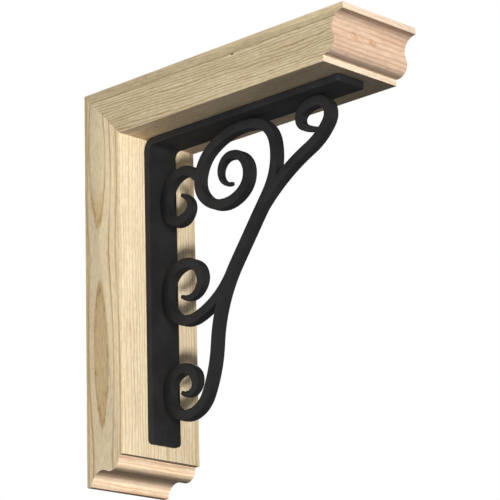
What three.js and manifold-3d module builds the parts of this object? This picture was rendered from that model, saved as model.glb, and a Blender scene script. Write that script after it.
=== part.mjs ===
import * as THREE from 'three';
import { mergeVertices } from 'three/addons/utils/BufferGeometryUtils.js';
import Module from 'manifold-3d';

// A mitred timber corbel bracket with an iron strap and scrolled iron bars, in millimetres.
// Everything is drawn in the bracket's side plane: "out" runs from the wall into the room,
// "up" is measured from the top of the beam, and "across" runs along the bracket's width.

// Timbers
const bracketHeight = 397;
const bracketProjection = 348;
const timberWidth = 102;
const timberThickness = 51;

// Ogee at the free end of each timber
const filletHeight = 6.5;
const ogeeSetback = 26;
const ovoloRadius = 12;
const ovoloQuirk = 2;

// Iron strap, one flat bar bent round the inner corner
const strapWidth = 38;
const strapThickness = 7;
const strapInnerBend = 6.5;
const strapCornerRadius = 4.5;
const strapInsetAtFoot = 13;
const strapInsetAtFront = 11;

// Square iron bars of the scrollwork
const barSize = 10.5;
const barEdge = 0.8;
const tipShare = 0.3;
const tipTaperPower = 0.8;

// Clearances between pieces that touch
const mitreGap = 0.3;
const seatGap = 0.3;
const weldGap = 0.3;

// Fineness of the curves, in degrees of turn for each step
const bendStep = 8;
const mouldingStep = 9;

// The scrollwork is set out on squared paper: runs and radii are counted in its squares.
// A positive turn goes to the left of the way the bar runs.
const gridSquare = 10;
const straight = (squares) => ({ length: squares * gridSquare, turn: 0 });
const bend = (squares, turn) => ({
  length: squares * gridSquare * Math.abs(THREE.MathUtils.degToRad(turn)),
  turn,
});

// The brace is laid out both ways from the point where the crown scroll springs from it
const braceHeading = 53.4;
const braceTowardsFront = [
  straight(2.6), bend(6.21, -10.5), bend(20.65, -19.6), bend(6.08, 29.8), bend(1.45, 115.8),
  bend(3.28, 20), bend(2.57, 25.5), bend(0.98, 117.9), bend(5.81, 20),
];
const braceTowardsFoot = [
  straight(2.81), bend(14.53, 31.7), bend(12.68, -22.1), bend(2.92, -86), bend(3.26, -2.5),
  bend(2.38, -79.6), bend(2.08, -93.2), bend(1.59, -53.9), bend(1.07, -103.4), bend(1.74, -43.2),
];
const braceFrontTaper = 42;
const braceFootTaper = 35;

// Crown scroll, the large one under the beam
const crownBends = [
  bend(6.13, 47.6), bend(3, 65.8), bend(8.05, 45.3), bend(3.77, 50.4), bend(2.52, 48.1),
  bend(3.77, 86.9), bend(2.17, 122.3), bend(2.89, 17.3), bend(1.44, 137.5), bend(1.4, 56.1),
];
const crownTaper = 75;

// Middle scroll, half-way down the post
const middleSpringsAt = 36.7;
const middleBends = [
  bend(8.48, -40.5), bend(3.43, -41.3), bend(2.95, -95.3), bend(2.53, -97.6), bend(1.65, -138.2),
  bend(2.09, -41.7),
];
const middleTaper = 40;

// Upper scroll, in the corner of the bracket
const upperSpringsAt = 227;
const upperLeavesAt = 123.1;
const upperBends = [
  bend(2.03, 48.6), bend(2.75, 109.9), bend(1.77, 117.4), bend(0.96, 74.9), bend(2.22, 38.7),
];
const upperTaper = 36;

// Planes that the ironwork is seated on
const strapBack = timberThickness + seatGap;
const strapFront = strapBack + strapThickness;
const barSeat = strapFront + weldGap + barSize / 2;

const wasm = await Module();
wasm.setup();

function toSolid(geometry) {
  const bare = geometry.clone();
  bare.deleteAttribute('normal');
  bare.deleteAttribute('uv');
  const merged = mergeVertices(bare, 1e-4);
  return new wasm.Manifold(new wasm.Mesh({
    numProp: 3,
    vertProperties: new Float32Array(merged.attributes.position.array),
    triVerts: new Uint32Array(merged.index.array),
  }));
}

function toGeometry(solid) {
  const mesh = solid.getMesh();
  const geometry = new THREE.BufferGeometry();
  geometry.setAttribute('position', new THREE.BufferAttribute(new Float32Array(mesh.vertProperties), 3));
  geometry.setIndex(new THREE.BufferAttribute(new Uint32Array(mesh.triVerts), 1));
  geometry.computeVertexNormals();
  return geometry;
}

// An outline in the side plane, made as wide as the piece and centred across the bracket
function acrossBracket(outline, width, curveSegments = 12) {
  const shape = outline instanceof THREE.Shape ? outline : new THREE.Shape(outline);
  const geometry = new THREE.ExtrudeGeometry(shape, { depth: width, bevelEnabled: false, curveSegments });
  return geometry.translate(0, 0, -width / 2);
}

// Points along an arc, both ends included
function arcPoints(centre, radius, startAngle, endAngle) {
  const steps = Math.ceil(Math.abs(endAngle - startAngle) / THREE.MathUtils.degToRad(mouldingStep));
  const points = [];
  for (let i = 0; i <= steps; i += 1) {
    const angle = startAngle + ((endAngle - startAngle) * i) / steps;
    points.push(new THREE.Vector2(centre.x + radius * Math.cos(angle), centre.y + radius * Math.sin(angle)));
  }
  return points;
}

// The ogee of a timber's end, as points of (distance back from the tip, depth across the timber):
// a fillet at the tip, a cove, an ovolo, and a second fillet that stands back.
// The cove's radius is the one that meets the ovolo without a break.
function ogeeEnd() {
  const ovolo = new THREE.Vector2(ogeeSetback - ovoloQuirk, timberThickness - filletHeight - ovoloRadius);
  const drop = ovolo.y - filletHeight;
  const coveRadius = (ovolo.x ** 2 + drop ** 2 - ovoloRadius ** 2) / (2 * (drop + ovoloRadius));
  const cove = new THREE.Vector2(0, filletHeight + coveRadius);
  const lean = Math.atan2(ovolo.y - cove.y, ovolo.x - cove.x);
  return [
    new THREE.Vector2(0, 0),
    ...arcPoints(cove, coveRadius, -Math.PI / 2, lean),
    ...arcPoints(ovolo, ovoloRadius, lean + Math.PI, Math.PI / 2).slice(1),
    new THREE.Vector2(ogeeSetback, timberThickness - filletHeight),
    new THREE.Vector2(ogeeSetback, timberThickness),
  ];
}

// The mitre runs from the top of the wall face to the inner corner, with half the gap on each side
const mitreShift = mitreGap / Math.SQRT2;

function beamGeometry() {
  const outline = [
    new THREE.Vector2(mitreShift, 0),
    ...ogeeEnd().map((p) => new THREE.Vector2(bracketProjection - p.x, -p.y)),
    new THREE.Vector2(timberThickness + mitreShift, -timberThickness),
  ];
  return acrossBracket(outline, timberWidth);
}

function postGeometry() {
  const outline = [
    new THREE.Vector2(0, -mitreShift),
    ...ogeeEnd().map((p) => new THREE.Vector2(p.y, p.x - bracketHeight)),
    new THREE.Vector2(timberThickness, -timberThickness - mitreShift),
  ];
  return acrossBracket(outline, timberWidth);
}

// The waste outside a rounded corner, as a shape whose corner is at (x, y) and whose
// material lies towards (towardsX, towardsY)
function cornerWaste(x, y, towardsX, towardsY) {
  const r = strapCornerRadius;
  const over = strapThickness;
  const points = [
    new THREE.Vector2(-over, -over),
    new THREE.Vector2(r, -over),
    ...arcPoints(new THREE.Vector2(r, r), r, -Math.PI / 2, -Math.PI),
    new THREE.Vector2(-over, r),
  ];
  return new THREE.Shape(points.map((p) => new THREE.Vector2(x + p.x * towardsX, y + p.y * towardsY)));
}

function strapGeometry() {
  const bendCentre = strapFront + strapInnerBend;
  const footEnd = -(bracketHeight - ogeeSetback - strapInsetAtFoot);
  const frontEnd = bracketProjection - ogeeSetback - strapInsetAtFront;
  const outline = new THREE.Shape();
  outline.moveTo(strapBack, footEnd);
  outline.lineTo(strapBack, -bendCentre);
  outline.absarc(bendCentre, -bendCentre, strapInnerBend + strapThickness, Math.PI, Math.PI / 2, true);
  outline.lineTo(frontEnd, -strapBack);
  outline.lineTo(frontEnd, -strapFront);
  outline.lineTo(bendCentre, -strapFront);
  outline.absarc(bendCentre, -bendCentre, strapInnerBend, Math.PI / 2, Math.PI, false);
  outline.lineTo(strapFront, footEnd);
  outline.closePath();
  let solid = toSolid(acrossBracket(outline, strapWidth));

  const cutDepth = 3 * strapThickness;
  const lookingAtPost = new THREE.Matrix4().makeBasis(
    new THREE.Vector3(0, 0, 1), new THREE.Vector3(0, 1, 0), new THREE.Vector3(-1, 0, 0),
  ).setPosition(strapFront + strapThickness, 0, 0);
  const lookingAtBeam = new THREE.Matrix4().makeBasis(
    new THREE.Vector3(1, 0, 0), new THREE.Vector3(0, 0, 1), new THREE.Vector3(0, -1, 0),
  ).setPosition(0, -strapBack + strapThickness, 0);
  for (const side of [-1, 1]) {
    const edge = (side * strapWidth) / 2;
    const cuts = [
      [cornerWaste(edge, footEnd, -side, 1), lookingAtPost],
      [cornerWaste(frontEnd, edge, -1, -side), lookingAtBeam],
    ];
    for (const [shape, place] of cuts) {
      const waste = new THREE.ExtrudeGeometry(shape, { depth: cutDepth, bevelEnabled: false });
      solid = solid.subtract(toSolid(waste.applyMatrix4(place)));
    }
  }
  return toGeometry(solid);
}

// Walks along the stretches of a bar and gives its stations: place, heading and run from the start
function layBar(start, stretches) {
  let { out, up, heading } = start;
  let run = 0;
  const stations = [{ out, up, heading, run }];
  for (const { length, turn } of stretches) {
    const steps = Math.max(1, Math.ceil(Math.abs(turn) / bendStep));
    const turnStep = THREE.MathUtils.degToRad(turn) / steps;
    const arcStep = length / steps;
    const chord = turnStep === 0 ? arcStep : (arcStep * Math.sin(turnStep / 2)) / (turnStep / 2);
    for (let i = 0; i < steps; i += 1) {
      out += chord * Math.cos(heading + turnStep / 2);
      up += chord * Math.sin(heading + turnStep / 2);
      heading += turnStep;
      run += arcStep;
      stations.push({ out, up, heading, run });
    }
  }
  return stations;
}

// The same bar walked from its other end
function reversed(stations) {
  const whole = stations.at(-1).run;
  return stations.map((s) => ({ ...s, heading: s.heading + Math.PI, run: whole - s.run })).reverse();
}

const nearestToWall = (stations) => Math.min(...stations.map((s) => s.out));
const nearestToBeam = (stations) => Math.max(...stations.map((s) => s.up));

// Moves a bar so that its scrolls bear on both legs of the strap
function seatOnStrap(stations) {
  const shiftOut = barSeat - nearestToWall(stations);
  const shiftUp = -barSeat - nearestToBeam(stations);
  return stations.map((s) => ({ ...s, out: s.out + shiftOut, up: s.up + shiftUp }));
}

// A bar that springs from another one, with a straight first stretch just long enough
// for its scroll to bear on the strap's post leg or beam leg
function springBar(root, bends, bearsOn) {
  const trial = layBar(root, bends);
  const missing = bearsOn === 'post'
    ? (barSeat - nearestToWall(trial)) / Math.cos(root.heading)
    : (-barSeat - nearestToBeam(trial)) / Math.sin(root.heading);
  return layBar(root, [{ length: missing, turn: 0 }, ...bends]);
}

// The station a given run along a bar, turned aside by an angle in degrees
function stationAt(stations, run, aside = 0) {
  const next = Math.max(1, stations.findIndex((s) => s.run >= run));
  const before = stations[next - 1];
  const after = stations[next];
  const share = (run - before.run) / (after.run - before.run);
  return {
    out: THREE.MathUtils.lerp(before.out, after.out, share),
    up: THREE.MathUtils.lerp(before.up, after.up, share),
    heading: THREE.MathUtils.lerp(before.heading, after.heading, share) + THREE.MathUtils.degToRad(aside),
  };
}

// How much of its full size the bar keeps near a drawn-out tip
function tipScale(distance, taper) {
  if (taper === 0) return 1;
  return tipShare + (1 - tipShare) * Math.min(1, distance / taper) ** tipTaperPower;
}

// A square bar with eased edges along its stations; grow thickens it all round
function barGeometry(stations, startTaper, endTaper, grow = 0) {
  const half = barSize / 2 + grow;
  const flat = half - barEdge;
  const section = [
    [half, -flat], [half, flat], [flat, half], [-flat, half],
    [-half, flat], [-half, -flat], [-flat, -half], [flat, -half],
  ];
  const sides = section.length;
  const whole = stations.at(-1).run;
  const positions = [];
  for (const s of stations) {
    const scale = Math.min(tipScale(s.run, startTaper), tipScale(whole - s.run, endTaper));
    for (const [aside, across] of section) {
      positions.push(
        s.out - Math.sin(s.heading) * aside * scale,
        s.up + Math.cos(s.heading) * aside * scale,
        across * scale,
      );
    }
  }
  const faces = [];
  for (let i = 0; i < stations.length - 1; i += 1) {
    for (let j = 0; j < sides; j += 1) {
      const a = i * sides + j;
      const b = i * sides + ((j + 1) % sides);
      faces.push(a, b, b + sides, a, b + sides, a + sides);
    }
  }
  const lastRing = (stations.length - 1) * sides;
  for (let j = 1; j < sides - 1; j += 1) {
    faces.push(0, j + 1, j, lastRing, lastRing + j, lastRing + j + 1);
  }
  const geometry = new THREE.BufferGeometry();
  geometry.setAttribute('position', new THREE.Float32BufferAttribute(positions, 3));
  geometry.setIndex(faces);
  geometry.computeVertexNormals();
  return geometry;
}

// A bar whose root is fitted against the side of the bar that it springs from
function fittedBar(stations, endTaper, parentStations) {
  const parent = toSolid(barGeometry(parentStations, 0, 0, weldGap));
  const bar = toSolid(barGeometry(stations, 0, endTaper)).subtract(parent);
  const pieces = bar.decompose();
  pieces.sort((a, b) => b.volume() - a.volume());
  return toGeometry(pieces[0]);
}

const anchor = { out: 0, up: 0, heading: THREE.MathUtils.degToRad(braceHeading) };
const towardsFront = layBar(anchor, braceTowardsFront);
const towardsFoot = layBar({ ...anchor, heading: anchor.heading + Math.PI }, braceTowardsFoot);
const frontRun = towardsFront.at(-1).run;
const braceStations = seatOnStrap([
  ...reversed(towardsFront),
  ...towardsFoot.slice(1).map((s) => ({ ...s, run: s.run + frontRun })),
]);

const crownRoot = stationAt(braceStations, frontRun, 180);
const crownStations = springBar(crownRoot, crownBends, 'beam');

const middleRoot = stationAt(braceStations, frontRun + middleSpringsAt);
const middleStations = springBar(middleRoot, middleBends, 'post');

const upperRoot = stationAt(crownStations, upperSpringsAt, -upperLeavesAt);
const upperStations = springBar(upperRoot, upperBends, 'post');

const timber = (colour) => new THREE.MeshStandardMaterial({ color: colour, roughness: 0.7, metalness: 0 });
const iron = (colour) => new THREE.MeshStandardMaterial({ color: colour, roughness: 0.45, metalness: 0.7 });

function piece(name, geometry, material) {
  const mesh = new THREE.Mesh(geometry, material);
  mesh.name = name;
  return mesh;
}

// The side plane stands upright, square to the wall, with the origin half-way up the wall face
const bracket = new THREE.Group();
bracket.setRotationFromMatrix(new THREE.Matrix4().makeBasis(
  new THREE.Vector3(0, -1, 0), new THREE.Vector3(0, 0, 1), new THREE.Vector3(-1, 0, 0),
));
bracket.position.z = bracketHeight / 2;

const timbers = new THREE.Group();
timbers.add(
  piece('post', postGeometry(), timber(0xd9c8a4)),
  piece('beam', beamGeometry(), timber(0xdcc6a2)),
);

const ironwork = new THREE.Group();
ironwork.add(
  piece('strap', strapGeometry(), iron(0x2b2b2c)),
  piece('brace_bar', barGeometry(braceStations, braceFrontTaper, braceFootTaper), iron(0x2e2e2f)),
  piece('crown_scroll', fittedBar(crownStations, crownTaper, braceStations), iron(0x2f2f30)),
  piece('middle_scroll', fittedBar(middleStations, middleTaper, braceStations), iron(0x303031)),
  piece('upper_scroll', fittedBar(upperStations, upperTaper, crownStations), iron(0x313132)),
);

bracket.add(timbers, ironwork);

const part = new THREE.Group();
part.add(bracket);
part.updateMatrixWorld(true);

export default part;
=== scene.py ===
import bpy
import math
from mathutils import Matrix, Vector


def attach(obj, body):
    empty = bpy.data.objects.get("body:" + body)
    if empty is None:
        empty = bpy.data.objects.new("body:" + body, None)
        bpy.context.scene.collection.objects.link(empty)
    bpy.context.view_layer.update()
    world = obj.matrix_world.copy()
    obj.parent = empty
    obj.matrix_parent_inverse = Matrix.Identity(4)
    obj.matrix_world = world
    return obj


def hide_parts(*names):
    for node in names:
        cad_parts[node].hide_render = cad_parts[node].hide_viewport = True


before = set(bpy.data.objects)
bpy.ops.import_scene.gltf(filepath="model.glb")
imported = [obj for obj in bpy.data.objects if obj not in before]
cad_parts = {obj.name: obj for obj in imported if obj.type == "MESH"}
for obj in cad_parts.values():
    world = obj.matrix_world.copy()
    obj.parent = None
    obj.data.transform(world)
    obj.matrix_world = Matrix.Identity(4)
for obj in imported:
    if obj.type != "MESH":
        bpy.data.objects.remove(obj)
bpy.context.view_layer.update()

# A mitred timber corbel bracket with an iron strap and scrolled iron bars, in metres.
# x runs across the bracket, -y out from the wall, +z up; the origin is half-way up the wall face.
MM = 0.001
SAME_PLACE = 0.001 * MM

# Sizes of the timbers
HEIGHT = 397 * MM
PROJECTION = 348 * MM
WIDTH = 102 * MM
THICKNESS = 51 * MM
TOP = HEIGHT / 2
MITRE_GAP = 0.06 * MM
MITRE_NEAR = 0.2 * MM
ARRIS = 0.5 * MM
SHORT_EDGE = 4 * MM

# Ogee at the free end of each timber
FILLET = 6.5 * MM
SETBACK = 26 * MM
OVOLO = 12 * MM
QUIRK = 2 * MM
COVE_STEPS = 28
OVOLO_STEPS = 24

# The cove's centre lies in the tip's plane, and its radius is the one that meets the ovolo without a break
OVOLO_CENTRE = Vector((SETBACK - QUIRK, THICKNESS - FILLET - OVOLO))
DROP = OVOLO_CENTRE.y - FILLET
COVE = (OVOLO_CENTRE.x ** 2 + DROP ** 2 - OVOLO ** 2) / (2 * (DROP + OVOLO))
COVE_CENTRE = Vector((0, FILLET + COVE))
LEAN = math.atan2(OVOLO_CENTRE.y - COVE_CENTRE.y, OVOLO_CENTRE.x)
COVE_END = COVE_CENTRE.y + COVE * math.sin(LEAN)

# Strap
STRAP_WIDTH = 38 * MM
STRAP_THICKNESS = 7 * MM
STRAP_BEND = 6.5 * MM
STRAP_BEND_STEPS = 14
STRAP_CORNER = 4.5 * MM
STRAP_CORNER_STEPS = 7
STRAP_EASE = 0.9 * MM
STRAP_EASE_STEPS = 3
STRAP_EASE_ABOVE = 50
STRAP_AT_FOOT = 13 * MM
STRAP_AT_FRONT = 11 * MM
SEAT_GAP = 0.3 * MM
STRAP_BACK = THICKNESS + SEAT_GAP
STRAP_FRONT = STRAP_BACK + STRAP_THICKNESS

# A countersunk screw near the strap's foot, filled and painted over so that it hardly stands proud
SCREW_ACROSS = 0.5 * MM
SCREW_HEIGHT = -147.5 * MM
SCREW_RADIUS = 3.3 * MM
SCREW_SIDES = 40
SCREW_DEPTH = 1.2 * MM
SCREW_PROUD = 0.25 * MM
SCREW_EASE = 0.2 * MM

# Scrollwork bars, drawn out to thin tips
BAR = 10.5 * MM
BAR_EASE = 1.2 * MM
BAR_EASE_STEPS = 3
TIP_SHARE = 0.3
TIP_POWER = 0.8
NOSE = TIP_SHARE * BAR / 2
NOSE_STATIONS = (1.0, 0.7, 0.4, 0.2, 0.07, 0.0)
NOSE_CLEAR = 1.05 * NOSE
NOSE_END_SQUARED = 0.04
FINEST_TURN = 4.0
LONGEST_STEP = 6 * MM
WELD_GAP = 0.3 * MM
WELD_INSET = 0.06 * MM
BAR_SEAT = STRAP_FRONT + WELD_GAP + BAR / 2

# Each bar is a list of (radius, degrees of turn), or (None, length) where it runs straight. Radii and
# lengths are counted in squares of the drawing grid, and a positive turn goes to the left. The middle bar
# springs from the brace and the upper bar from the crown bar, each at a run from the crown bar's root.
GRID = 10 * MM
BRACE_HEADING = 53.4
BRACE_FRONT = [(None, 2.6), (6.21, -10.5), (20.65, -19.6), (6.08, 29.8), (1.45, 115.8),
               (3.28, 20), (2.57, 25.5), (0.98, 117.9), (5.81, 20)]
BRACE_FOOT = [(None, 2.81), (14.53, 31.7), (12.68, -22.1), (2.92, -86), (3.26, -2.5),
              (2.38, -79.6), (2.08, -93.2), (1.59, -53.9), (1.07, -103.4), (1.74, -43.2)]
CROWN = [(6.13, 47.6), (3, 65.8), (8.05, 45.3), (3.77, 50.4), (2.52, 48.1),
         (3.77, 86.9), (2.17, 122.3), (2.89, 17.3), (1.44, 137.5), (1.4, 56.1)]
MIDDLE_SPRINGS = 36.7 * MM
MIDDLE = [(8.48, -40.5), (3.43, -41.3), (2.95, -95.3), (2.53, -97.6), (1.65, -138.2), (2.09, -41.7)]
UPPER_SPRINGS = 227 * MM
UPPER_LEAVES = 123.1
UPPER = [(2.03, 48.6), (2.75, 109.9), (1.77, 117.4), (0.96, 74.9), (2.22, 38.7)]

# How far from its tip each bar starts to thin
FRONT_TAPER = 42 * MM
FOOT_TAPER = 35 * MM
CROWN_TAPER = 75 * MM
MIDDLE_TAPER = 40 * MM
UPPER_TAPER = 36 * MM


# Modelling helpers

def only(piece):
    bpy.ops.object.select_all(action='DESELECT')
    piece.select_set(True)
    bpy.context.view_layer.objects.active = piece


def edit(piece, kind='VERT'):
    only(piece)
    bpy.ops.object.mode_set(mode='EDIT')
    bpy.ops.mesh.select_mode(type=kind)


def leave():
    bpy.ops.object.mode_set(mode='OBJECT')


def pick(piece, what, test):
    """Selects the vertices or edges that pass the test, and nothing else."""
    bpy.ops.mesh.select_mode(type={'vertices': 'VERT', 'edges': 'EDGE'}[what])
    bpy.ops.mesh.select_all(action='DESELECT')
    leave()
    for element in getattr(piece.data, what):
        element.select = test(element)
    bpy.ops.object.mode_set(mode='EDIT')


def edge_ends(piece, edge):
    return [piece.data.vertices[index].co for index in edge.vertices]


def slide(delta):
    bpy.ops.mesh.extrude_region_move(TRANSFORM_OT_translate={"value": delta})


def turn(angle, centre):
    """Turns the selection about the x axis, right-handed."""
    bpy.ops.transform.rotate(value=-angle, orient_axis='X', orient_type='GLOBAL', center_override=centre)


def resize(factor, centre):
    bpy.ops.transform.resize(value=(factor, factor, factor), center_override=centre)


def tidy_normals():
    bpy.ops.mesh.select_all(action='SELECT')
    bpy.ops.mesh.remove_doubles(threshold=SAME_PLACE)
    bpy.ops.mesh.normals_make_consistent(inside=False)


def smooth(piece, degrees):
    only(piece)
    bpy.ops.object.shade_smooth_by_angle(angle=math.radians(degrees))


def side_point(out, up, across=0.0):
    """A point given by its distance out from the wall and up from the beam's top."""
    return Vector((across, -out, up + TOP))


# Timbers

def start_wire(name, point):
    """A new piece that is one vertex at the point, left in edit mode."""
    bpy.ops.object.select_all(action='DESELECT')
    bpy.ops.mesh.primitive_plane_add(size=10 * MM)
    piece = bpy.context.object
    piece.name = piece.data.name = name
    edit(piece)
    pick(piece, 'vertices', lambda vertex: vertex.index != 0)
    bpy.ops.mesh.delete(type='VERT')
    bpy.ops.mesh.select_all(action='SELECT')
    leave()
    start = piece.data.vertices[0].co.copy()
    bpy.ops.object.mode_set(mode='EDIT')
    bpy.ops.transform.translate(value=point - start)
    return piece


def wire_to(points):
    """Draws the wire on through the points, each given as (out, up)."""
    here = Vector(points[0])
    for point in points[1:]:
        there = Vector(point)
        step = there - here
        slide((0, -step.x, step.y))
        here = there


def arc(centre, radius, start, end, steps):
    points = []
    for i in range(steps + 1):
        angle = start + (end - start) * i / steps
        points.append((centre.x + radius * math.cos(angle), centre.y + radius * math.sin(angle)))
    return points


def ogee_points():
    """The ogee as (distance back from the tip, depth): fillet, cove, ovolo and a second fillet."""
    points = [(0, 0)]
    points += arc(COVE_CENTRE, COVE, -math.pi / 2, LEAN, COVE_STEPS)
    points += arc(OVOLO_CENTRE, OVOLO, LEAN + math.pi, math.pi / 2, OVOLO_STEPS)[1:]
    points += [(SETBACK, THICKNESS - FILLET), (SETBACK, THICKNESS)]
    return points


def on_mitre(point):
    return abs(-point.y - (TOP - point.z)) < MITRE_NEAR


def is_arris(piece, edge):
    """True for the long edges of a timber, apart from those of its mitre."""
    a, b = edge_ends(piece, edge)
    if on_mitre(a) and on_mitre(b):
        return False
    return (a - b).length > SHORT_EDGE


def timber(name, outline):
    """Draws a timber's outline in the side plane, fills it and draws it out to the width."""
    piece = start_wire(name, side_point(*outline[0], -WIDTH / 2))
    wire_to(outline)
    bpy.ops.mesh.select_all(action='SELECT')
    bpy.ops.mesh.edge_face_add()
    slide((WIDTH, 0, 0))
    tidy_normals()
    pick(piece, 'edges', lambda edge: is_arris(piece, edge))
    bpy.ops.mesh.bevel(offset=ARRIS, segments=2, profile=0.5, affect='EDGES', clamp_overlap=True)
    tidy_normals()
    leave()
    return piece


mitre = MITRE_GAP / math.sqrt(2)
beam_outline = [(mitre, 0)] + [(PROJECTION - back, -deep) for back, deep in ogee_points()]
beam_outline += [(THICKNESS + mitre, -THICKNESS)]
post_outline = [(0, -mitre)] + [(deep, back - HEIGHT) for back, deep in ogee_points()]
post_outline += [(THICKNESS, -THICKNESS - mitre)]

post = timber('post_timber', post_outline)
beam = timber('beam_timber', beam_outline)


# Strap

def section(name, centre, wide, thick):
    """A flat rectangle that faces along the post, to be drawn out along a bar's line."""
    bpy.ops.object.select_all(action='DESELECT')
    bpy.ops.mesh.primitive_plane_add(size=1, location=centre)
    piece = bpy.context.object
    piece.name = piece.data.name = name
    edit(piece)
    bpy.ops.mesh.select_all(action='SELECT')
    bpy.ops.transform.resize(value=(wide, thick, 1), center_override=centre)
    leave()
    only(piece)
    bpy.ops.object.transform_apply(location=True, rotation=True, scale=True)
    return piece


foot_end = -(HEIGHT - SETBACK - STRAP_AT_FOOT)
front_end = PROJECTION - SETBACK - STRAP_AT_FRONT
bend_centre = STRAP_FRONT + STRAP_BEND
strap_start = side_point((STRAP_BACK + STRAP_FRONT) / 2, foot_end)
strap = section('corner_strap', strap_start, STRAP_WIDTH, STRAP_THICKNESS)
edit(strap, 'FACE')
bpy.ops.mesh.select_all(action='SELECT')
slide((0, 0, -bend_centre - foot_end))
pivot = side_point(bend_centre, -bend_centre)
for step in range(STRAP_BEND_STEPS):
    slide((0, 0, 0))
    turn(math.radians(90 / STRAP_BEND_STEPS), pivot)
slide((0, -(front_end - bend_centre), 0))
tidy_normals()


def is_end_corner(edge):
    """True for the four edges that run through the strap's thickness at its ends."""
    a, b = edge_ends(strap, edge)
    through = abs((a - b).length - STRAP_THICKNESS) < 50 * SAME_PLACE and abs(a.x - b.x) < SAME_PLACE
    at_foot = abs(a.z - TOP - foot_end) < 10 * SAME_PLACE
    at_front = abs(-a.y - front_end) < 10 * SAME_PLACE
    return through and (at_foot or at_front)


pick(strap, 'edges', is_end_corner)
bpy.ops.mesh.bevel(offset=STRAP_CORNER, segments=STRAP_CORNER_STEPS, profile=0.5, affect='EDGES')
leave()
only(strap)
easing = strap.modifiers.new('Eased edges', 'BEVEL')
easing.width = STRAP_EASE
easing.segments = STRAP_EASE_STEPS
easing.limit_method = 'ANGLE'
easing.angle_limit = math.radians(STRAP_EASE_ABOVE)
bpy.ops.object.modifier_apply(modifier=easing.name)

bpy.ops.object.select_all(action='DESELECT')
bpy.ops.mesh.primitive_cylinder_add(vertices=SCREW_SIDES, radius=SCREW_RADIUS, depth=SCREW_DEPTH)
strap_screw = bpy.context.object
strap_screw.name = strap_screw.data.name = 'strap_screw'
edit(strap_screw, 'FACE')
bpy.ops.mesh.select_all(action='SELECT')
turn(math.pi / 2, (0, 0, 0))
screw_middle = STRAP_FRONT + SCREW_PROUD - SCREW_DEPTH / 2
bpy.ops.transform.translate(value=(SCREW_ACROSS, -screw_middle, SCREW_HEIGHT))
pick(strap_screw, 'edges', lambda edge: all(end.y < -STRAP_FRONT for end in edge_ends(strap_screw, edge)))
bpy.ops.mesh.bevel(offset=SCREW_EASE, segments=3, profile=0.5, affect='EDGES')
tidy_normals()
leave()


# Scrollwork

def lay(start, stretches):
    """Walks along the stretches of a bar and gives its stations: (out, up, heading, run)."""
    out, up, heading = start
    run = 0.0
    stations = [(out, up, heading, run)]
    for radius, amount in stretches:
        if radius is None:
            length = amount * GRID
            angle = 0.0
        else:
            angle = math.radians(amount)
            length = radius * GRID * abs(angle)
        by_turn = math.ceil(abs(math.degrees(angle)) / FINEST_TURN)
        steps = max(1, by_turn, math.ceil(length / LONGEST_STEP))
        part = angle / steps
        chord = length / steps * (math.sin(part / 2) / (part / 2) if part else 1)
        for _ in range(steps):
            out += chord * math.cos(heading + part / 2)
            up += chord * math.sin(heading + part / 2)
            heading += part
            run += length / steps
            stations.append((out, up, heading, run))
    return stations


def spring(root, bends, bears_on):
    """A bar whose straight first stretch is just long enough for its scroll to bear on the strap."""
    trial = lay(root, bends)
    if bears_on == 'post':
        missing = (BAR_SEAT - min(s[0] for s in trial)) / math.cos(root[2])
    else:
        missing = (-BAR_SEAT - max(s[1] for s in trial)) / math.sin(root[2])
    return lay(root, [(None, missing / GRID)] + bends)


def station_at(stations, run, aside=0.0):
    """The place and heading a given run along a bar, turned aside by some degrees."""
    after = next(i for i, s in enumerate(stations) if s[3] >= run)
    a, b = stations[after - 1], stations[after]
    share = (run - a[3]) / (b[3] - a[3])
    out, up, heading = (a[k] + (b[k] - a[k]) * share for k in range(3))
    return out, up, heading + math.radians(aside)


def seat(stations):
    """Moves a bar so that it bears on the strap along the post and under the beam."""
    shift_out = BAR_SEAT - min(s[0] for s in stations)
    shift_up = -BAR_SEAT - max(s[1] for s in stations)
    return [(s[0] + shift_out, s[1] + shift_up, s[2], s[3]) for s in stations]


def tip_size(distance, taper):
    """How much of its size the bar keeps near a drawn-out tip, rounded off at the very end."""
    if not taper:
        return 1.0
    size = TIP_SHARE + (1 - TIP_SHARE) * min(1.0, distance / taper) ** TIP_POWER
    if distance < NOSE:
        size *= math.sqrt(max(NOSE_END_SQUARED, 1 - (1 - distance / NOSE) ** 2))
    return size


def with_nose(stations):
    """Adds close stations at the bar's last stretch so that its tip is round."""
    whole = stations[-1][3]
    kept = [s for s in stations if whole - s[3] > NOSE_CLEAR]
    for share in NOSE_STATIONS:
        run = whole - NOSE * share
        kept.append((*station_at(stations, run), run))
    return kept


def forge(name, stations, start_taper, end_taper, inset=0.0):
    """Draws an eased square section along the stations with extrude, turn and scale."""
    whole = stations[-1][3]
    first = stations[0]
    size = min(tip_size(0, start_taper), tip_size(whole, end_taper))
    centre = side_point(first[0], first[1])
    piece = section(name, centre, BAR - 2 * inset, BAR - 2 * inset)
    edit(piece)
    bpy.ops.mesh.select_all(action='SELECT')
    bpy.ops.mesh.bevel(offset=BAR_EASE, segments=BAR_EASE_STEPS, profile=0.5, affect='VERTICES')
    bpy.ops.mesh.select_all(action='SELECT')
    turn(math.pi / 2 - first[2], centre)
    resize(size, centre)
    for before, here in zip(stations, stations[1:]):
        there = side_point(here[0], here[1])
        slide(there - centre)
        centre = there
        turn(before[2] - here[2], centre)
        new_size = min(tip_size(here[3], start_taper), tip_size(whole - here[3], end_taper))
        if abs(new_size / size - 1) > 1e-6:
            resize(new_size / size, centre)
        size = new_size
    tidy_normals()
    leave()
    return piece


def back_to_front(stations):
    whole = stations[-1][3]
    return [(s[0], s[1], s[2] + math.pi, whole - s[3]) for s in reversed(stations)]


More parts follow.
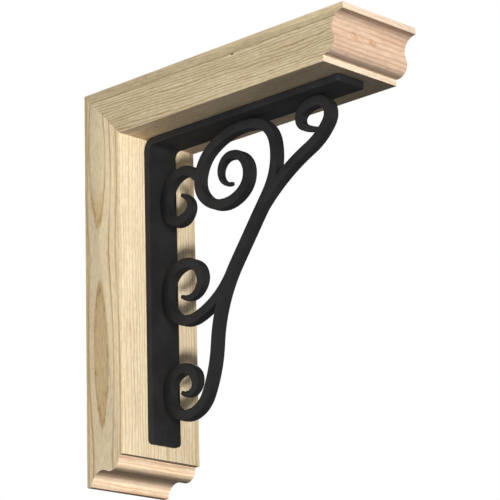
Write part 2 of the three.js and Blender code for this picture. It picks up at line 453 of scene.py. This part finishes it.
# The brace is laid out both ways from the point where the crown scroll springs from it
heading = math.radians(BRACE_HEADING)
towards_front = lay((0.0, 0.0, heading), BRACE_FRONT)
towards_foot = lay((0.0, 0.0, heading + math.pi), BRACE_FOOT)
front_run = towards_front[-1][3]
onwards = [(s[0], s[1], s[2], s[3] + front_run) for s in towards_foot[1:]]
brace_line = seat(back_to_front(towards_front) + onwards)
crown_line = spring(station_at(brace_line, front_run, 180), CROWN, 'beam')
middle_line = spring(station_at(brace_line, front_run + MIDDLE_SPRINGS), MIDDLE, 'post')
upper_line = spring(station_at(crown_line, UPPER_SPRINGS, -UPPER_LEAVES), UPPER, 'post')

brace_line = back_to_front(with_nose(back_to_front(with_nose(brace_line))))
brace = forge('brace_scroll_bar', brace_line, FRONT_TAPER, FOOT_TAPER)
crown = forge('crown_scroll_bar', with_nose(crown_line), 0, CROWN_TAPER, WELD_INSET)
middle = forge('middle_scroll_bar', with_nose(middle_line), 0, MIDDLE_TAPER, WELD_INSET)
upper = forge('upper_scroll_bar', with_nose(upper_line), 0, UPPER_TAPER, 2 * WELD_INSET)


# Material helpers

def rgb(red, green, blue):
    """A colour given in the 0 to 255 display scale, made linear."""
    def linear(c):
        c /= 255
        return c / 12.92 if c <= 0.04045 else ((c + 0.055) / 1.055) ** 2.4
    return (linear(red), linear(green), linear(blue), 1.0)


def new_group(name, numbers, outputs):
    """A node group with a vector input, number inputs with their usual values, and number outputs."""
    group = bpy.data.node_groups.new(name, 'ShaderNodeTree')
    group.interface.new_socket(name='Vector', in_out='INPUT', socket_type='NodeSocketVector')
    for title, value in numbers.items():
        socket = group.interface.new_socket(name=title, in_out='INPUT', socket_type='NodeSocketFloat')
        socket.default_value = value
    for title in outputs:
        group.interface.new_socket(name=title, in_out='OUTPUT', socket_type='NodeSocketFloat')
    return group


class Bench:
    """Places and joins nodes in one tree."""

    def __init__(self, tree):
        self.tree = tree
        self.nodes = tree.nodes
        self.column = 0

    def put(self, kind, inputs=None, **settings):
        node = self.nodes.new(kind)
        self.column += 1
        node.location = (self.column * 180, -(self.column % 5) * 140)
        for key, value in settings.items():
            setattr(node, key, value)
        for key, value in (inputs or {}).items():
            self.feed(node.inputs[key], value)
        return node

    def feed(self, socket, value):
        if isinstance(value, bpy.types.NodeSocket):
            self.tree.links.new(value, socket)
        elif value is not None:
            socket.default_value = value

    def maths(self, operation, a, b=None, c=None):
        node = self.put('ShaderNodeMath', operation=operation)
        for index, value in enumerate((a, b, c)):
            self.feed(node.inputs[index], value)
        return node.outputs[0]

    def plus(self, a, b):
        return self.maths('ADD', a, b)

    def minus(self, a, b):
        return self.maths('SUBTRACT', a, b)

    def times(self, a, b):
        return self.maths('MULTIPLY', a, b)

    def over(self, a, b):
        return self.maths('DIVIDE', a, b)

    def apart(self, a, b):
        return self.maths('ABSOLUTE', self.minus(a, b))

    def more(self, a, b):
        return self.maths('GREATER_THAN', a, b)

    def either(self, test, yes, no):
        return self.plus(self.times(test, yes), self.times(self.minus(1.0, test), no))

    def ellipse(self, a, b, centre, reach):
        """Nought at the centre of an ellipse and 1 on its edge."""
        a = self.over(self.minus(a, centre[0]), reach[0])
        b = self.over(self.minus(b, centre[1]), reach[1])
        return self.plus(self.times(a, a), self.times(b, b))

    def noise(self, vector, scale, detail, roughness=0.5, distortion=0.0):
        return self.put('ShaderNodeTexNoise', {'Vector': vector, 'Scale': scale, 'Detail': detail,
                                               'Roughness': roughness, 'Distortion': distortion}).outputs[0]

    def grain(self, vector, scale, detail, roughness=0.5, distortion=0.0):
        """Noise with a scale of its own along each axis."""
        drawn = self.put('ShaderNodeVectorMath', {0: vector, 1: scale}, operation='MULTIPLY').outputs[0]
        return self.noise(drawn, 1.0, detail, roughness, distortion)

    def wobble(self, vector, scale, detail, reach, roughness=0.5):
        """Grain centred on nought."""
        return self.times(self.minus(self.grain(vector, scale, detail, roughness), 0.5), reach)

    def remap(self, value, low, high, to_low=0.0, to_high=1.0, kind='SMOOTHSTEP'):
        return self.put('ShaderNodeMapRange', {'Value': value, 'From Min': low, 'From Max': high,
                                               'To Min': to_low, 'To Max': to_high},
                        interpolation_type=kind).outputs[0]

    def mix(self, share, one, other, blend='MIX'):
        node = self.put('ShaderNodeMix', data_type='RGBA', blend_type=blend)
        for socket, value in zip((node.inputs[0], node.inputs[6], node.inputs[7]), (share, one, other)):
            self.feed(socket, value)
        return node.outputs[2]

    def shaded(self, colour, factor):
        grey = self.put('ShaderNodeCombineXYZ', {0: factor, 1: factor, 2: factor}).outputs[0]
        return self.mix(1.0, colour, grey, 'MULTIPLY')

    def striped(self, colour, place, stripes, stain):
        """Stains a colour along soft stripes, each given as (centre, half width, share)."""
        for centre, half_width, share in stripes:
            depth = self.remap(self.apart(place, centre), 0.0, half_width, share, 0.0)
            colour = self.mix(depth, colour, stain)
        return colour


# The growth rings of a sawn board: X runs across the face and Y along the grain, in metres. A flame stands
# at Peak Place and at every Peak Length from it. Peak Height closes the flames and Heart Area narrows them.
rings = new_group('growth_rings', {
    'Ring Gap': 4.5 * MM, 'First Ring': 0.0, 'Peak Length': 200 * MM, 'Peak Place': 0.0, 'Peak Height': 0.0,
    'Heart Area': 0.0, 'Waver': 1 * MM, 'Late Start': 0.45, 'Clear Heart': 0.1 * MM},
    ['Late Wood', 'Distance'])
bench = Bench(rings)
given = bench.put('NodeGroupInput').outputs
result = bench.put('NodeGroupOutput').inputs
parts = bench.put('ShaderNodeSeparateXYZ', {0: given['Vector']}).outputs
wander = bench.wobble(given['Vector'], (60, 9, 60), 2.0, 3.0)
tremble = bench.wobble(given['Vector'], (240, 45, 240), 2.0, 1.05)
across = bench.plus(parts['X'], bench.times(bench.plus(wander, tremble), given['Waver']))
periods = bench.over(bench.minus(parts['Y'], given['Peak Place']), given['Peak Length'])
round_rise = bench.minus(1.0, bench.maths('COSINE', bench.times(periods, 2 * math.pi)))
swing = bench.apart(bench.maths('FRACT', bench.plus(periods, 0.5)), 0.5)
blunt_rise = bench.times(bench.times(swing, swing), 4.8)
rise = bench.maths('MULTIPLY_ADD', round_rise, 0.4, blunt_rise)
lift = bench.times(rise, bench.times(given['Peak Height'], given['Peak Height']))
square = bench.plus(bench.plus(bench.times(across, across), lift), given['Heart Area'])
distance = bench.maths('SQRT', bench.maths('MAXIMUM', square, 0.0))
phase = bench.maths('FRACT', bench.over(bench.minus(distance, given['First Ring']), given['Ring Gap']))
swell = bench.remap(phase, given['Late Start'], 0.9)
fall = bench.remap(phase, 0.92, 1.0, 1.0, 0.0)
beyond_heart = bench.remap(distance, bench.times(given['Clear Heart'], 0.85), given['Clear Heart'])
strength = bench.remap(bench.grain(given['Vector'], (170, 7, 170), 2.0), 0.36, 0.58, 0.45, 1.0)
band = bench.times(bench.times(swell, fall), beyond_heart)
bench.feed(result['Late Wood'], bench.times(band, strength))
bench.feed(result['Distance'], distance)

# Fine fibres, short dark dashes and slow clouds, all drawn out along the grain
fibres = new_group('wood_fibres', {'Fineness': 1.0}, ['Streaks', 'Dashes', 'Clouds'])
bench = Bench(fibres)
given = bench.put('NodeGroupInput').outputs
result = bench.put('NodeGroupOutput').inputs
fine = bench.put('ShaderNodeVectorMath', {0: given['Vector'], 'Scale': given['Fineness']},
                 operation='SCALE').outputs[0]
bench.feed(result['Streaks'], bench.grain(fine, (560, 95, 560), 3.0, 0.65))
bench.feed(result['Dashes'], bench.remap(bench.grain(fine, (640, 150, 640), 1.0, 0.4), 0.58, 0.7))
bench.feed(result['Clouds'], bench.grain(given['Vector'], (55, 14, 55), 3.0, 0.55))


# Wood

WOOD_CLOUDS = 0.6
WOOD_ROUGHNESS = (0.71, 0.58)
WOOD_SPECULAR = 0.25
WOOD_RELIEF = 0.4
WOOD_RELIEF_DEPTH = 0.25 * MM


class Face:
    """Where the points of a sawn face lie: on the bracket, on the board, and from the heart of the tree."""

    def __init__(self, x, y, z, board, heart):
        self.x = x
        self.y = y
        self.z = z
        self.board = board
        self.heart = heart


def wood(name, across, along, early, late, tint, late_share, ring, streak, dashes, fineness=1.0, heart=None,
         painted_shade_ramp=None, grade=None):
    """One sawn face. across and along lay it out as a board, each the sum of its (axis, weight, shift).
    ring holds the inputs of the growth rings. heart is (from, to, area, area) along the board, and the ramp
    of painted shade is (axis, from, to, factor, factor). grade paints what this face alone has, painted light
    and shade among it."""
    material = bpy.data.materials.new(name)
    material.use_nodes = True
    bench = Bench(material.node_tree)
    shader = bench.nodes['Principled BSDF']
    place = bench.put('ShaderNodeTexCoord').outputs['Object']
    xyz = bench.put('ShaderNodeSeparateXYZ', {0: place}).outputs

    def run(terms):
        total = None
        for axis, weight, shift in terms:
            part = bench.maths('MULTIPLY_ADD', xyz[axis], weight, shift)
            total = part if total is None else bench.plus(total, part)
        return total

    length = run(along)
    board = bench.put('ShaderNodeCombineXYZ', {0: run(across), 1: length, 2: 0.0}).outputs[0]
    ring_node = bench.put('ShaderNodeGroup', node_tree=rings)
    bench.feed(ring_node.inputs['Vector'], board)
    for key, value in ring.items():
        bench.feed(ring_node.inputs[key], value)
    if heart:
        bench.feed(ring_node.inputs['Heart Area'], bench.remap(length, *heart))
    fibre_node = bench.put('ShaderNodeGroup', node_tree=fibres)
    bench.feed(fibre_node.inputs['Vector'], board)
    bench.feed(fibre_node.inputs['Fineness'], fineness)
    late_wood = ring_node.outputs['Late Wood']
    streaks = fibre_node.outputs['Streaks']
    dash = fibre_node.outputs['Dashes']

    cloud = bench.remap(fibre_node.outputs['Clouds'], 0.32, 0.68, 0.0, WOOD_CLOUDS)
    share = bench.times(late_wood, bench.remap(streaks, 0.3, 0.7, late_share, late_share * 0.6))
    colour = bench.mix(share, bench.mix(cloud, early, tint), late)
    shade = bench.remap(streaks, 0.28, 0.72, 1 + streak * 0.5, 1 - streak)
    shade = bench.times(shade, bench.maths('MULTIPLY_ADD', dash, -dashes, 1.0))
    # Painted shade: the face grows darker or lighter along one axis
    if painted_shade_ramp:
        shade = bench.times(shade, bench.remap(xyz[painted_shade_ramp[0]], *painted_shade_ramp[1:], kind='LINEAR'))
    if grade:
        face = Face(xyz['X'], xyz['Y'], xyz['Z'], board, ring_node.outputs['Distance'])
        colour = grade(bench, face, colour)
    bench.feed(shader.inputs['Base Color'], bench.shaded(colour, shade))
    bench.feed(shader.inputs['Roughness'], bench.remap(late_wood, 0.0, 1.0, *WOOD_ROUGHNESS, 'LINEAR'))
    shader.inputs['Specular IOR Level'].default_value = WOOD_SPECULAR
    height = bench.maths('MULTIPLY_ADD', late_wood, 0.6, bench.times(streaks, 0.6))
    height = bench.minus(height, bench.times(dash, 0.5))
    bump = bench.put('ShaderNodeBump', {'Strength': WOOD_RELIEF, 'Distance': WOOD_RELIEF_DEPTH,
                                        'Height': height})
    bench.feed(shader.inputs['Normal'], bump.outputs[0])
    return material


# Stripes are (centre, half width, share): on the post's side from the wall, on its front from the middle
SIDE_LINES = ((3 * MM, 3 * MM, 0.7), (42.5 * MM, 1.3 * MM, 0.45), (46.8 * MM, 1.5 * MM, 0.5))
FRONT_LINES = ((46.5 * MM, 2.2 * MM, 0.55), (7.8 * MM, 2.4 * MM, 0.6), (-46 * MM, 1.2 * MM, 0.2))
LINE_SCALE = (9, 9, 9)

# The flames of the post's side, by distance from the heart
FLAME_INNER = (9.2 * MM, 10.1 * MM)
FLAME_RIM = (6 * MM, 9.4 * MM)
FLAME_RAGGED = 7 * MM
FLAME_FADES = (75 * MM, 104 * MM)

# The plain band along the top of the beam's side, by depth below the top, and the dark speck in it
BAND_EDGE = (9.8 * MM, 11.2 * MM)
BAND_LINE = (10.6 * MM, 1.1 * MM, 0.6)
SPECK = (-206.8 * MM, 186.3 * MM)
SPECK_REACH = (2.2 * MM, 1.1 * MM)

# The beam's moulding has two knots, as (across, height), and a seam in its top fillet
KNOTS = ((-20 * MM, 176 * MM), (5 * MM, 175.5 * MM))
KNOT_REACH = (7 * MM, 4.5 * MM)
SEAM = (0.45 * FILLET, 0.6 * MM, 0.4)


def heart_stain(bench, face, colour):
    """The post's side: ochre flames, ragged and in places browner at the rim, and lines near its edges."""
    ragged = bench.wobble(face.board, (330, 110, 330), 3.0, FLAME_RAGGED, 0.7)
    distance = bench.plus(face.heart, ragged)
    inner = bench.remap(distance, *FLAME_INNER, 1.0, 0.0)
    rim = bench.remap(distance, *FLAME_RIM)
    mottle = bench.remap(bench.grain(face.board, (230, 60, 230), 3.0, 0.7), 0.48, 0.6)
    share = bench.times(inner, bench.remap(face.z, *FLAME_FADES, 1.0, 0.12))
    colour = bench.mix(bench.times(share, 0.85), colour, rgb(213, 185, 138))
    browner = bench.times(bench.times(share, rim), bench.times(mottle, 0.85))
    colour = bench.mix(browner, colour, rgb(178, 136, 88))
    out = bench.minus(bench.wobble(face.board, LINE_SCALE, 1.0, 3 * MM), face.y)
    return bench.striped(colour, out, SIDE_LINES, rgb(200, 166, 104))


def front_stripes_and_painted_light(bench, face, colour):
    """The post's front: ochre stripes that run its whole length, and painted light, brighter towards the far
    edge.
    """
    place = bench.plus(face.x, bench.wobble(face.board, LINE_SCALE, 1.0, 4 * MM))
    colour = bench.striped(colour, place, FRONT_LINES, rgb(206, 172, 112))
    # Painted light: brighter towards the far edge
    return bench.shaded(colour, bench.remap(face.x, 20 * MM, 50 * MM, 1.0, 1.07))


def foot_painted_shade(bench, face, colour):
    """The foot's moulding: painted shade that follows which way the surface faces, darkest on the upper
    fillet, on the underside and where it faces down.
    """
    back = bench.plus(face.z, HEIGHT / 2)
    deep = bench.times(face.y, -1.0)
    cove = bench.over(back, COVE)
    ovolo = bench.over(bench.minus(SETBACK - QUIRK, back), OVOLO)
    facing = bench.either(bench.more(deep, COVE_END), ovolo, cove)
    upper_fillet = bench.more(deep, THICKNESS - FILLET + 0.1 * MM)
    underside = bench.more(0.25 * MM, back)
    facing = bench.maths('MAXIMUM', bench.maths('MAXIMUM', facing, upper_fillet), underside)
    # Painted light and shade by which way the surface faces, then the dark colour as painted shade where it
    # faces down
    colour = bench.shaded(colour, bench.remap(facing, 0.0, 0.5, 0.9, 1.04))
    return bench.mix(bench.remap(facing, 0.46, 1.0, 0.0, 0.93), colour, rgb(78, 62, 48))


def beam_end_knots_and_painted_light(bench, face, colour):
    """The beam's moulding: painted light on its flat fillets, painted shade that turns greyer where it faces
    down, and two small scribbled knots.
    """
    deep = bench.minus(TOP, face.z)
    cove = bench.over(bench.minus(FILLET + COVE, deep), COVE)
    ovolo = bench.over(bench.minus(deep, OVOLO_CENTRE.y), OVOLO)
    facing = bench.either(bench.more(deep, COVE_END), ovolo, cove)
    # Painted light and shade by which way the surface faces, with a greyer painted shade where it faces down
    colour = bench.shaded(colour, bench.remap(facing, 0.0, 0.8, 0.93, 1.1))
    colour = bench.mix(bench.remap(facing, 0.7, 1.0, 0.0, 0.4), colour, rgb(150, 136, 126))
    place = bench.put('ShaderNodeCombineXYZ', {0: face.x, 1: face.y, 2: face.z}).outputs[0]
    scribble = bench.remap(bench.grain(place, (420, 900, 900), 2.0, 0.6, 1.2), 0.47, 0.56)
    for knot in KNOTS:
        off = bench.ellipse(face.x, face.z, knot, KNOT_REACH)
        share = bench.times(bench.remap(off, 0.3, 1.0, 0.9, 0.0), scribble)
        colour = bench.mix(share, colour, rgb(184, 130, 64))
    # Painted light: the flat upper fillet is made paler
    upper_fillet = bench.maths('LESS_THAN', deep, FILLET)
    colour = bench.mix(bench.times(upper_fillet, 0.5), colour, rgb(255, 232, 208))
    colour = bench.striped(colour, deep, (SEAM,), rgb(160, 118, 88))
    # Painted light: the flat lower fillet is made paler too
    low_fillet = bench.more(deep, THICKNESS - FILLET)
    return bench.mix(bench.times(low_fillet, 0.6), colour, rgb(255, 236, 206))


def plain_top_band(bench, face, colour):
    """The beam's side: plain and browner along its top, down to one darker line, with one dark speck."""
    sway = bench.wobble(face.board, (20, 12, 20), 2.0, 3 * MM)
    deep = bench.plus(bench.minus(TOP, face.z), sway)
    mottle = bench.grain(face.board, (60, 22, 60), 3.0, 0.6)
    plain = bench.mix(bench.remap(mottle, 0.35, 0.65), rgb(218, 198, 158), rgb(202, 180, 146))
    band = bench.remap(deep, *BAND_EDGE, 1.0, 0.0)
    colour = bench.mix(bench.times(band, 0.75), colour, plain)
    colour = bench.striped(colour, deep, (BAND_LINE,), rgb(160, 130, 88))
    off = bench.ellipse(face.y, face.z, SPECK, SPECK_REACH)
    return bench.mix(bench.remap(off, 0.35, 1.0, 0.9, 0.0), colour, rgb(64, 46, 30))


# The side's wood is set darker than the front's, partly as painted shade, and its painted shade grows darker
# towards the foot
post_side = wood(
    'post_side_wood', across=[('Y', 1.0, 20.2 * MM), ('Z', -0.018, 0.0)], along=[('Z', 1.0, 0.0)],
    early=rgb(235, 217, 179), late=rgb(176, 138, 84), tint=rgb(223, 200, 167), late_share=1.0,
    ring={'Ring Gap': 8.6 * MM, 'First Ring': 10.4 * MM, 'Peak Length': 200 * MM, 'Peak Place': -70.4 * MM,
          'Peak Height': 8.75 * MM, 'Waver': 1.1 * MM, 'Late Start': 0.62, 'Clear Heart': 6.6 * MM},
    streak=0.16, dashes=0.1, heart=(45 * MM, 130 * MM, 0.5e-6, -50e-6),
    painted_shade_ramp=('Z', 120 * MM, -120 * MM, 1.08, 0.86), grade=heart_stain)
# The front's painted shade grows darker towards the foot
post_front = wood(
    'post_front_wood', across=[('X', 1.0, 160 * MM)], along=[('Z', 1.0, 0.0)],
    early=rgb(252, 235, 198), late=rgb(206, 162, 106), tint=rgb(238, 214, 178), late_share=0.75,
    ring={'Ring Gap': 3.9 * MM, 'Peak Length': 600 * MM, 'Peak Place': 100 * MM, 'Peak Height': 8 * MM,
          'Waver': 3 * MM},
    streak=0.14, dashes=0.08, painted_shade_ramp=('Z', 100 * MM, -120 * MM, 1.0, 0.82), grade=front_stripes_and_painted_light)
beam_side = wood(
    'beam_side_wood', across=[('Z', -1.0, 270 * MM)], along=[('Y', 1.0, 0.0)],
    early=rgb(236, 219, 182), late=rgb(168, 130, 74), tint=rgb(220, 199, 157), late_share=1.0,
    ring={'Ring Gap': 3 * MM, 'Peak Length': 500 * MM, 'Peak Place': -250 * MM, 'Peak Height': 23.5 * MM,
          'Waver': 2.6 * MM, 'Late Start': 0.5},
    streak=0.16, dashes=0.12, grade=plain_top_band)
# The underside's painted shade: brighter near the corner and darker towards the beam's free end
beam_under = wood(
    'beam_under_wood', across=[('X', 1.0, 110 * MM)], along=[('Y', 1.0, 0.0)],
    early=rgb(236, 216, 186), late=rgb(166, 138, 102), tint=rgb(212, 188, 154), late_share=0.8,
    ring={'Ring Gap': 3.6 * MM, 'Peak Length': 700 * MM, 'Peak Place': -100 * MM, 'Peak Height': 10 * MM,
          'Waver': 1.4 * MM},
    streak=0.2, dashes=0.1, painted_shade_ramp=('Y', -70 * MM, -300 * MM, 1.1, 0.42))
OGEE_CUT = {
    'across': [('Z', 0.75, 60 * MM), ('Y', -0.75, 0.0)], 'along': [('X', 1.0, 0.0)],
    'ring': {'Ring Gap': 4.2 * MM, 'Peak Length': 500 * MM, 'Peak Place': 30 * MM, 'Peak Height': 4 * MM,
             'Waver': 1.8 * MM},
    'streak': 0.14, 'dashes': 0.06, 'fineness': 0.8}
beam_ogee = wood('beam_ogee_wood', early=rgb(222, 193, 166), late=rgb(170, 118, 92), tint=rgb(212, 176, 146),
                 late_share=0.6, grade=beam_end_knots_and_painted_light, **OGEE_CUT)
foot_ogee = wood('foot_ogee_wood', early=rgb(248, 224, 192), late=rgb(208, 146, 106), tint=rgb(238, 206, 168),
                 late_share=0.7, grade=foot_painted_shade, **OGEE_CUT)
back_wood = wood(
    'planed_back_wood', across=[('X', 1.0, 120 * MM)], along=[('Z', 1.0, 0.0), ('Y', 1.0, 0.0)],
    early=rgb(222, 206, 172), late=rgb(178, 146, 96), tint=rgb(208, 188, 148), late_share=0.6,
    ring={'Ring Gap': 4.4 * MM, 'Peak Length': 700 * MM, 'Peak Height': 12 * MM, 'Waver': 1.4 * MM},
    streak=0.18, dashes=0.15)


# Iron

IRON_BLACK = (0.02, 0.02, 0.0205, 1.0)
IRON_GREYER = (0.03, 0.03, 0.03075, 1.0)
IRON_ROUGHNESS = (0.6, 0.7)
IRON_SPECULAR = 0.15
IRON_RELIEF = 0.25
IRON_RELIEF_DEPTH = 0.6 * MM

iron = bpy.data.materials.new('black_painted_iron')
iron.use_nodes = True
bench = Bench(iron.node_tree)
shader = bench.nodes['Principled BSDF']
place = bench.put('ShaderNodeTexCoord').outputs['Object']
hammered = bench.noise(place, 95.0, 2.0)
skin = bench.noise(place, 900.0, 2.0, 0.6)
uneven = bench.noise(place, 30.0, 3.0, 0.6)
bench.feed(shader.inputs['Base Color'], bench.mix(bench.remap(uneven, 0.3, 0.7), IRON_BLACK, IRON_GREYER))
bench.feed(shader.inputs['Roughness'], bench.remap(skin, 0.3, 0.7, *IRON_ROUGHNESS))
shader.inputs['Metallic'].default_value = 0.0
shader.inputs['Specular IOR Level'].default_value = IRON_SPECULAR
bump = bench.put('ShaderNodeBump', {'Strength': IRON_RELIEF, 'Distance': IRON_RELIEF_DEPTH,
                                    'Height': bench.plus(hammered, bench.times(skin, 0.08))})
bench.feed(shader.inputs['Normal'], bump.outputs[0])


# Each sawn face takes the wood of its own cut

MOULDING_REACH = SETBACK + 0.3 * MM

# The angles in degrees up to which two faces are shaded as one
SMOOTH_TO = 32
BARS_SMOOTH_TO = 60


def dress(piece, woods, choose):
    for material in woods:
        piece.data.materials.append(material)
    for face in piece.data.polygons:
        face.material_index = choose(face)


def cut_of(face, from_tip, inward):
    """Which wood a face takes: 0 side, 1 the face towards the iron, 2 moulding, 3 the two hidden faces.
    from_tip is its distance from the timber's tip, and inward how far it looks away from the iron."""
    if abs(face.normal.x) > 0.5:
        return 0
    if from_tip < MOULDING_REACH and inward < 0.5:
        return 2
    return 1 if inward < -0.5 else 3


dress(post, [post_side, post_front, foot_ogee, back_wood],
      lambda face: cut_of(face, face.center.z + TOP, face.normal.y))
dress(beam, [beam_side, beam_under, beam_ogee, back_wood],
      lambda face: cut_of(face, face.center.y + PROJECTION, face.normal.z))

bars = [brace, crown, middle, upper]
ironwork = [strap, strap_screw] + bars
for piece in ironwork:
    piece.data.materials.append(iron)

for piece in (post, beam, strap, strap_screw):
    smooth(piece, SMOOTH_TO)
for piece in bars:
    smooth(piece, BARS_SMOOTH_TO)

for piece, node, slot in ((post, 'post', 'timber'), (beam, 'beam', 'timber'), (strap, 'strap', 'iron'),
                          (brace, 'brace_bar', 'iron'), (crown, 'crown_scroll', 'iron'),
                          (middle, 'middle_scroll', 'iron'), (upper, 'upper_scroll', 'iron')):
    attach(piece, 'root')
    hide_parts(node)
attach(strap_screw, 'root')


# Floor and surroundings

FLOOR_SIZE = 24
FLOOR_HEIGHT = -3.4
FLOOR_PALE = (0.82, 0.82, 0.81, 1)
WHITE = (1, 1, 1, 1)
SKY = 0.17


def show_to_camera(bench, seen, lighting, output):
    """The camera sees one shader, and the rest of the light comes from the other."""
    ray = bench.put('ShaderNodeLightPath').outputs['Is Camera Ray']
    both = bench.put('ShaderNodeMixShader', {0: ray, 1: lighting.outputs[0], 2: seen.outputs[0]})
    bench.feed(bench.nodes[output].inputs['Surface'], both.outputs[0])


bpy.ops.object.select_all(action='DESELECT')
bpy.ops.mesh.primitive_plane_add(size=FLOOR_SIZE, location=(0, 0, FLOOR_HEIGHT))
floor = bpy.context.object
floor.name = floor.data.name = 'studio_floor'
floor_finish = bpy.data.materials.new('pale_floor')
floor_finish.use_nodes = True
bench = Bench(floor_finish.node_tree)
dull = bench.nodes['Principled BSDF']
dull.inputs['Base Color'].default_value = FLOOR_PALE
dull.inputs['Roughness'].default_value = 0.9
bright = bench.put('ShaderNodeEmission', {'Color': FLOOR_PALE, 'Strength': 1.0})
show_to_camera(bench, bright, dull, 'Material Output')
floor.data.materials.append(floor_finish)

world = bpy.data.worlds.new('white_studio')
bpy.context.scene.world = world
world.use_nodes = True
bench = Bench(world.node_tree)
plain = bench.nodes['Background']
plain.inputs['Color'].default_value = WHITE
plain.inputs['Strength'].default_value = SKY
seen = bench.put('ShaderNodeBackground', {'Color': WHITE, 'Strength': 1.0})
show_to_camera(bench, seen, plain, 'World Output')


# Lights

SOFTBOX_DISTANCE = 6.0
SOFTBOX_AIM = Vector((0, -120 * MM, 0))


def softbox(name, azimuth, elevation, spread, power, lit):
    """A round soft light seen from the bracket at an azimuth from straight out, left positive, and an
    elevation, all in degrees. It lights only the named pieces, though every piece casts a shadow in it."""
    a = math.radians(azimuth)
    e = math.radians(elevation)
    direction = Vector((-math.sin(a) * math.cos(e), -math.cos(a) * math.cos(e), math.sin(e)))
    lamp = bpy.data.lights.new(name, 'AREA')
    lamp.shape = 'DISK'
    lamp.size = 2 * SOFTBOX_DISTANCE * math.tan(math.radians(spread / 2))
    lamp.energy = power
    holder = bpy.data.objects.new(name, lamp)
    bpy.context.scene.collection.objects.link(holder)
    holder.location = SOFTBOX_AIM + direction * SOFTBOX_DISTANCE
    holder.rotation_euler = (-direction).to_track_quat('-Z', 'Y').to_euler()
    receivers = bpy.data.collections.new(name + '_lights')
    for piece in lit:
        receivers.objects.link(piece)
    holder.light_linking.receiver_collection = receivers


softbox('high_softbox', azimuth=26.5, elevation=8, spread=12, power=425, lit=[beam])
softbox('low_softbox', azimuth=42, elevation=-26, spread=9, power=430, lit=[post])
softbox('broad_softbox', azimuth=42, elevation=-8, spread=40, power=170, lit=ironwork + [floor])
softbox('strap_softbox', azimuth=42, elevation=-8, spread=40, power=185, lit=[strap, strap_screw])
softbox('front_fill', azimuth=-35, elevation=0, spread=30, power=105, lit=bars)
softbox('side_fill', azimuth=120, elevation=0, spread=30, power=105, lit=bars)
softbox('rear_softbox', azimuth=-140, elevation=25, spread=20, power=260, lit=ironwork + [post, beam])


# Camera, worked out from the straight edges of the timbers in the photo: where it stands, which way the
# right and the foot of its picture point, and its focal length

CAMERA_PLACE = (-1.640762, -1.738992, -0.641656)
CAMERA_RIGHT = Vector((0.6951026, -0.7184520, -0.0256729))
CAMERA_DOWN = Vector((0.1815584, 0.2099870, -0.9606987))
CAMERA_LENS = 179.23
CAMERA_SENSOR = 36
CAMERA_FAR = 50

camera_data = bpy.data.cameras.new('camera')
camera = bpy.data.objects.new('camera', camera_data)
bpy.context.scene.collection.objects.link(camera)
camera_data.sensor_width = CAMERA_SENSOR
camera_data.lens = CAMERA_LENS
camera_data.clip_end = CAMERA_FAR
forward = CAMERA_RIGHT.cross(CAMERA_DOWN)
spot = Matrix.Identity(4)
for row in range(3):
    spot[row][0] = CAMERA_RIGHT[row]
    spot[row][1] = -CAMERA_DOWN[row]
    spot[row][2] = -forward[row]
spot.translation = CAMERA_PLACE
camera.matrix_world = spot
bpy.context.scene.camera = camera
bpy.context.scene.view_settings.view_transform = 'Standard'

bpy.context.view_layer.update()
